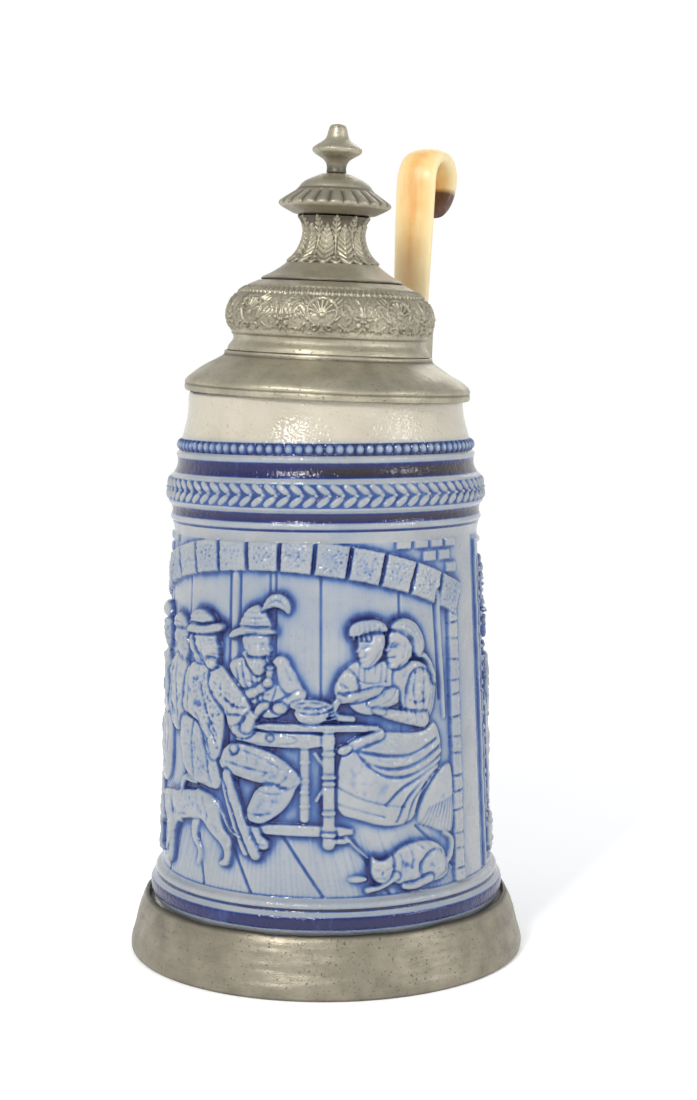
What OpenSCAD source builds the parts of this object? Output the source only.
// Beer stein: a stoneware mug with a pewter foot ring and a hinged pewter lid.
// Z is up and the mug stands on Z = 0. The handle, the hinge and the thumblift
// point along +Y, and the middle of the picture side faces -Y.

/* [Mug] */
// Height of the mug's rim above the table
rim_height = 192; // [150:1:230]
// Outer radius of the neck just under the lid
neck_radius = 46.5; // [40:0.5:60]
// Outer radius of the wall at the top of the picture panels
panel_top_radius = 52.8; // [45:0.1:65]
// Outer radius of the wall at the bottom of the picture panels
panel_foot_radius = 57.4; // [48:0.1:70]
// Height of the bottom edge of the picture panels
panel_foot = 30; // [24:1:50]
// Height of the top edge of the picture panels
panel_top = 144; // [110:1:160]
// Outer radius of the stoneware foot
foot_radius = 57.5; // [45:0.5:70]
// Thickness of the stoneware wall
wall = 5.5; // [4:0.5:9]
// Thickness of the stoneware floor
floor_thickness = 9; // [5:0.5:14]

/* [Handle] */
// Width of the handle across the mug
handle_width = 24; // [16:1:32]
// Thickness of the handle
handle_thickness = 12; // [8:0.5:16]
// Height of the top of the handle's centre line
handle_top = 158; // [130:1:165]
// Radius of the handle's upper bend
handle_bend = 27; // [18:1:34]
// Radius of the long back of the handle
handle_back = 95; // [70:1:160]
// Angle that the long back turns through
handle_sweep = 38; // [20:1:60]

/* [Foot ring] */
// Outer radius of the foot ring at its widest
ring_radius = 67.7; // [60:0.1:80]
// Height of the foot ring
ring_height = 20; // [12:1:30]
// Radius of the hollow that the plaster fills
ring_bore = 61.5; // [59:0.1:70]

/* [Lid] */
// Radius of the lid's rim
lid_radius = 48.4; // [42:0.1:62]
// Height of the lid's lower edge when it is shut
lid_foot = 189.6; // [150:0.1:230]
// Angle by which the worn hinge lets the lid lean sideways
lid_lean = 2.8; // [0:0.1:3]
// Distance by which the worn hinge lets the lid sit sideways
lid_shift = 0.5; // [0:0.1:0.6]
// Number of lobes round the lid's upper knob
lobe_count = 18; // [10:1:28]

/* [Hinge] */
// Distance of the hinge pin from the mug's axis
hinge_reach = 57; // [54:0.5:70]
// Height of the hinge pin
hinge_height = 193; // [188:0.5:200]
// Radius of the hinge rings
knuckle_radius = 4.5; // [3:0.1:6]
// Radius of the hinge pin
pin_radius = 1.75; // [1:0.05:2.5]
// Width of each of the five hinge rings
knuckle_width = 4; // [3:0.1:6]

/* [Thumblift] */
// Width of the tusk
tusk_width = 13.5; // [8:0.5:18]
// Thickness of the tusk
tusk_thickness = 5; // [3:0.5:8]
// Height of the middle of the tusk's upper curl
tusk_curl_height = 266; // [240:1:280]
// Radius of the tusk's upper curl
tusk_curl = 9.2; // [5:0.1:14]
// Distance of the tusk's stem from the mug's axis
tusk_reach = 61; // [57:0.5:70]

/* [Hidden] */
$fn = 96;
// Gap between turning hinge parts, along the pin
side_gap = 0.3;
// Gap between the pin and the rings of the lid
running_gap = 0.05;
// Gap between parts that are fixed to one another
fixed_gap = 0.01;
// Length by which a cutting shape runs past the surface that it cuts
overlap = 1;
// Gap round a turning hinge ring, where the other half makes way for it
ring_gap = 0.4;
// Each length of a bent bar is this much thinner than the one it runs into
hair = 0.1;
// Centres of the handle's two arcs, and where its straight foot begins, as [y, z]
bend_center = [67, handle_top - handle_bend];
back_center = [bend_center[0] + handle_bend - handle_back, bend_center[1]];
back_end = [back_center[0] + handle_back * cos(handle_sweep),
            back_center[1] - handle_back * sin(handle_sweep)];
back_start = back_end + [sin(handle_sweep), cos(handle_sweep)];
// Strap round the handle: distance from the axis, width and thickness of its metal
strap_start = 57.5;
strap_width = 9;
strap_metal = 2;
// Five hinge rings in a row make the pin's length
knuckle_pitch = knuckle_width + side_gap;
pin_length = 5 * knuckle_width + 4 * side_gap;
// The tang's flat top, on which the socket of the tusk stands
tang_top = 200.6;
tang_width = 12.6;
// The socket's rim, its wall, the height of the tusk's foot in it and its rivets
socket_top = 217;
socket_wall = 2;
tusk_foot = 205;
rivet_height = 210.5;
rivet_offset = 3.5;
rivet_radius = 1.2;
// Angle that the tusk's curl turns past level on its way back
curl_past = 70;
pewter = [0.58, 0.56, 0.50];
stoneware = [0.66, 0.69, 0.74];
ivory = [0.92, 0.78, 0.47];

// ---- shared shapes ----

// A solid turned round the Z axis from [radius, height] points, closed along the axis
module turned(points) {
    rotate_extrude()
        polygon(concat([[0, points[0][1]]], points, [[0, points[len(points) - 1][1]]]));
}

// A wall turned round the Z axis between an outer and an inner line of points,
// both listed from the bottom up
module turned_wall(outer, inner) {
    rotate_extrude()
        polygon(concat(outer, [for (i = [len(inner) - 1:-1:0]) inner[i]]));
}

// A flat rectangle with round corners, centred
module rounded(x, y, corner) {
    square([x, y - 2 * corner], center = true);
    square([x - 2 * corner, y], center = true);
    for (sx = [-1, 1])
        for (sy = [-1, 1])
            translate([sx * (x / 2 - corner), sy * (y / 2 - corner)])
                circle(r = corner);
}

// A curved bar in the YZ plane: its section turns about a centre at [y, z]
module bend(center, radius, start, sweep) {
    translate([0, center[0], center[1]])
        rotate([90, 0, 90])
            rotate([0, 0, start])
                rotate_extrude(angle = sweep)
                    translate([radius, 0])
                        children();
}

// A straight bar in the YZ plane, from [y, z] in the given direction
module run(start, direction, length) {
    translate([0, start[0], start[1]])
        rotate([direction - 90, 0, 0])
            linear_extrude(length)
                rotate(90)
                    children();
}

// A cylinder along X, centred at x
module along_x(x, y, z, radius, length) {
    translate([x, y, z])
        rotate([0, 90, 0])
            cylinder(r = radius, h = length, center = true);
}

// Everything on the worn hinge leans and shifts sideways with it
module leaning() {
    translate([lid_shift, 0, lid_foot])
        rotate([0, lid_lean, 0])
            translate([0, 0, -lid_foot])
                children();
}

// ---- mug ----

// The outside of the mug from the foot up to just under the rim
mug_outline = [
    [foot_radius, 0],
    [foot_radius, 16.5],
    [60.2, 20.5],
    [60.6, 24.7],
    [58.6, 26.6],
    [58.6, 28.2],
    [panel_foot_radius, panel_foot],
    [panel_top_radius, panel_top],
    [52.3, 147],
    [53.1, 149],
    [52.4, 151],
    [53.6, 153.5],
    [54.1, 157],
    [53.5, 161],
    [52.2, 163.8],
    [50.4, 167],
    [50.6, 170.3],
    [49.7, 172.4],
    [49.7, 175.4],
    [48.2, 177.4],
    [46.9, 182],
    [neck_radius, 186]
];

// The outside of the mug as a solid, without its rim
module mug_envelope() {
    turned(mug_outline);
}

// The inside of the mug, open at the top
module mug_hollow() {
    turned([
        [panel_foot_radius - wall - 8, floor_thickness],
        [panel_foot_radius - wall - 2, floor_thickness + 3],
        [panel_foot_radius - wall, floor_thickness + 10],
        [panel_top_radius - wall, panel_top],
        [neck_radius - wall + 1, 176],
        [neck_radius - wall + 1, rim_height + overlap]
    ]);
}

// The rounded rim
module mug_rim() {
    rim_round = (wall - 1) / 2;
    turned_wall(
        [[neck_radius, 186], [neck_radius, rim_height - rim_round]],
        [[neck_radius - 2 * rim_round, 186], [neck_radius - 2 * rim_round, rim_height - rim_round]]);
    translate([0, 0, rim_height - rim_round])
        rotate_extrude()
            translate([neck_radius - rim_round, 0])
                circle(r = rim_round);
}

module body() {
    color(stoneware)
        difference() {
            union() {
                mug_envelope();
                mug_rim();
            }
            mug_hollow();
        }
}

module handle_section(thinner = 0) {
    rounded(handle_thickness - thinner, handle_width - thinner, 5);
}

// The handle springs level from the neck, bends down and runs back into the wall
module handle() {
    color(stoneware)
        difference() {
            union() {
                run([46, handle_top], 0, bend_center[0] - 45)
                    handle_section(hair);
                bend(bend_center, handle_bend, 0, 90)
                    handle_section();
                bend(back_center, handle_back, -handle_sweep, handle_sweep + 0.8)
                    handle_section(hair);
                run(back_start, -90 - handle_sweep, 30)
                    handle_section(2 * hair);
            }
            mug_envelope();
        }
}

// ---- foot ----

module base_ring() {
    color(pewter)
        turned_wall(
            [[67, 0], [ring_radius, 1.2], [ring_radius, 3.4], [66.5, 7.3],
             [65.4, 11.5], [64, 16], [62.6, 19], [61.8, ring_height]],
            [[ring_bore, 0], [ring_bore, 17], [60.9, 18.6], [60.9, ring_height]]);
}

module base_plaster() {
    color([0.85, 0.83, 0.78])
        turned_wall(
            [[ring_bore - fixed_gap, 0.8], [ring_bore - fixed_gap, 16]],
            [[foot_radius + fixed_gap, 0.8], [foot_radius + fixed_gap, 16]]);
}

// ---- hinge, fixed side ----

// The outside of the strap round the handle
module strap_block() {
    run([strap_start, handle_top], 0, strap_width)
        rounded(handle_thickness + 2 * strap_metal, handle_width + 2 * strap_metal, 6.5);
}

module handle_strap() {
    color(pewter)
        difference() {
            strap_block();
            run([strap_start - overlap, handle_top], 0, strap_width + 2 * overlap)
                rounded(handle_thickness + 2 * fixed_gap, handle_width + 2 * fixed_gap, 5);
        }
}

// A hinge ring in place number 0 to 4 along the pin
module knuckle(place, radius, width) {
    along_x((place - 2) * knuckle_pitch, hinge_reach, hinge_height, radius, width);
}

module hinge_leaf() {
    leaf_top = hinge_height - 2;
    leaf_foot = handle_top + handle_thickness / 2;
    color(pewter)
        difference() {
            leaning() {
                difference() {
                    union() {
                        for (place = [0, 2, 4])
                            knuckle(place, knuckle_radius, knuckle_width);
                        translate([0, hinge_reach + 2, 0])
                            rotate([90, 0, 0])
                                linear_extrude(4.5)
                                    polygon([[-7, leaf_foot], [7, leaf_foot],
                                             [pin_length / 2, leaf_top - 7],
                                             [pin_length / 2, leaf_top],
                                             [-pin_length / 2, leaf_top],
                                             [-pin_length / 2, leaf_top - 7]]);
                    }
                    for (place = [1, 3])
                        knuckle(place, knuckle_radius + ring_gap, knuckle_width + 2 * side_gap);
                    along_x(0, hinge_reach, hinge_height, pin_radius + fixed_gap, pin_length + 2);
                }
            }
            strap_block();
        }
}

module hinge_pin() {
    color([0.5, 0.5, 0.48])
        leaning()
            along_x(0, hinge_reach, hinge_height, pin_radius, pin_length);
}

// Domed discs that close the two ends of the hinge
module hinge_caps() {
    cap_height = 1.4;
    color(pewter)
        leaning()
            for (side = [0, 1])
                mirror([side, 0, 0])
                    translate([pin_length / 2 + fixed_gap, hinge_reach, hinge_height])
                        rotate([0, 90, 0])
                            turned([[knuckle_radius - 0.2, 0],
                                    [knuckle_radius - 0.2, 0.5],
                                    [3, cap_height - 0.3],
                                    [1.5, cap_height]]);
}

// ---- lid ----

flange_outline = [
    [lid_radius - 0.4, lid_foot],
    [lid_radius, lid_foot + 0.8],
    [lid_radius, lid_foot + 2.8],
    [lid_radius - 0.6, lid_foot + 3.8],
    [46.5, 195.4],
    [43.5, 197.4],
    [39.9, 199.4],
    [36.7, 201.3],
    [35.3, 202.6],
    [35.3, 203.6]
];

module lid_flange() {
    color(pewter)
        leaning()
            turned_wall(flange_outline,
                        [[lid_radius - 0.9, lid_foot], [lid_radius - 0.9, lid_foot + 2.6],
                         [43.2, 196.1], [38.6, 198], [33.2, 201.2], [32.4, 203.6]]);
}

module lid_band() {
    color(pewter)
        leaning()
            turned_wall(
                [[34.4, 203.6], [33.8, 205.5], [32.5, 207.5], [33.1, 209.5],
                 [34.3, 211.5], [35.3, 213.6], [35.5, 215.6], [35.1, 217.8],
                 [34, 220.2], [32.6, 222.4], [29.8, 225.2], [24.4, 227.5]],
                [[32.4, 203.6], [31.6, 205.5], [30.3, 207.6], [31, 210],
                 [32.6, 213], [33.4, 215.6], [32.8, 218], [30.6, 221.6],
                 [28.4, 223.6], [22.4, 225.8], [21.4, 227.5]]);
}

module lid_neck() {
    color(pewter)
        leaning()
            turned_wall(
                [[23.9, 227.5], [23.2, 228.6], [20.5, 229.9], [17.9, 231.7], [15.6, 233.7],
                 [13.4, 235.7], [11.8, 237.7], [10.6, 240.6], [10, 243.7], [10.5, 245.8],
                 [11.2, 247.8], [12.8, 249.7]],
                [[21.4, 227.5], [18.6, 228.6], [15.6, 230.6], [11.4, 234.4],
                 [8.6, 239], [7.8, 243.7], [8.4, 249.7]]);
}

// The knob has a ring of lobes above its edge and a bore for the finial's stud
module lid_knob() {
    color(pewter)
        leaning()
            difference() {
                union() {
                    turned([[13.6, 249.7], [17, 251.8], [18.6, 252.8], [18.6, 254.2],
                            [16.4, 255.6], [13.4, 257.4], [11.8, 259.7],
                            [8.5, 261.9], [4.6, 263.6]]);
                    for (i = [0:lobe_count - 1])
                        rotate([0, 0, i * 360 / lobe_count])
                            translate([16.6, 0, 253.7])
                                sphere(r = 2.2);
                }
                translate([0, 0, 256])
                    cylinder(r = 2 + fixed_gap, h = 10);
            }
}

module finial() {
    color(pewter)
        leaning() {
            turned([[3.3, 263.62], [3.3, 266.2], [4.2, 268.2], [6.6, 269.6], [8.3, 271],
                    [8.3, 272], [6.1, 273.5], [3.9, 275.2], [3.2, 277.2], [2.7, 279.2],
                    [1.9, 280]]);
            translate([0, 0, 256.5])
                cylinder(r = 2, h = 8);
        }
}

// ---- hinge, lid side, and thumblift ----

// The tang lies on the lid's rim and carries two hinge rings and the socket's foot
module lid_tang() {
    color(pewter)
        leaning()
            difference() {
                union() {
                    for (place = [1, 3])
                        knuckle(place, knuckle_radius, knuckle_width);
                    translate([-tang_width / 2, 0, 0])
                        rotate([90, 0, 90])
                            linear_extrude(tang_width)
                                polygon([[40, 196], [40, 201.6], [52, tang_top], [66, tang_top],
                                         [66, 198.8], [hinge_reach + 2, 195],
                                         [hinge_reach, hinge_height],
                                         [52, hinge_height], [47, 191]]);
                }
                turned(flange_outline);
                for (place = [0, 2, 4])
                    knuckle(place, knuckle_radius + ring_gap, knuckle_width + 2 * side_gap);
                along_x(0, hinge_reach, hinge_height, pin_radius + running_gap, 30);
            }
}

module tusk_section(thinner = 0) {
    rounded(tusk_thickness - thinner, tusk_width - thinner, 2.3);
}

// The socket is a pewter cup that grips the foot of the tusk
module thumblift_socket() {
    depth = tusk_thickness + 2 * socket_wall;
    width = tusk_width + 2 * socket_wall;
    color(pewter)
        leaning()
            difference() {
                run([tusk_reach, tang_top], 90, socket_top - tang_top)
                    rounded(depth, width, 3.5);
                run([tusk_reach, tusk_foot], 90, 30)
                    rounded(tusk_thickness + 2 * fixed_gap, tusk_width + 2 * fixed_gap, 2.3);
                rivet_places(rivet_radius + fixed_gap, 30);
            }
}

module rivet_places(radius, length) {
    for (x = [-rivet_offset, rivet_offset])
        translate([x, tusk_reach, rivet_height])
            rotate([90, 0, 0])
                cylinder(r = radius, h = length, center = true);
}

// A tusk rises straight from the socket and curls over backwards
module thumblift_tusk() {
    curl_center = [tusk_reach + tusk_curl, tusk_curl_height];
    color(ivory)
        leaning()
            difference() {
                union() {
                    run([tusk_reach, tusk_foot + fixed_gap], 90, tusk_curl_height - tusk_foot + 0.5)
                        tusk_section(hair);
                    bend(curl_center, tusk_curl, -curl_past, 180 + curl_past) tusk_section();
                }
                rivet_places(rivet_radius + fixed_gap, 30);
            }
}

module thumblift_rivets() {
    color(pewter)
        leaning() {
            rivet_places(rivet_radius, tusk_thickness + 2 * socket_wall);
            for (x = [-rivet_offset, rivet_offset])
                for (side = [0, 1])
                    translate([x, tusk_reach, rivet_height])
                        mirror([0, side, 0])
                            translate([0, tusk_thickness / 2 + socket_wall, 0])
                                rotate([-90, 0, 0])
                                    turned([[2.2, 0], [2, 0.5], [1.1, 1]]);
        }
}

body();
handle();
base_ring();
base_plaster();
handle_strap();
hinge_leaf();
hinge_pin();
hinge_caps();
lid_flange();
lid_band();
lid_neck();
lid_knob();
finial();
lid_tang();
thumblift_socket();
thumblift_tusk();
thumblift_rivets();
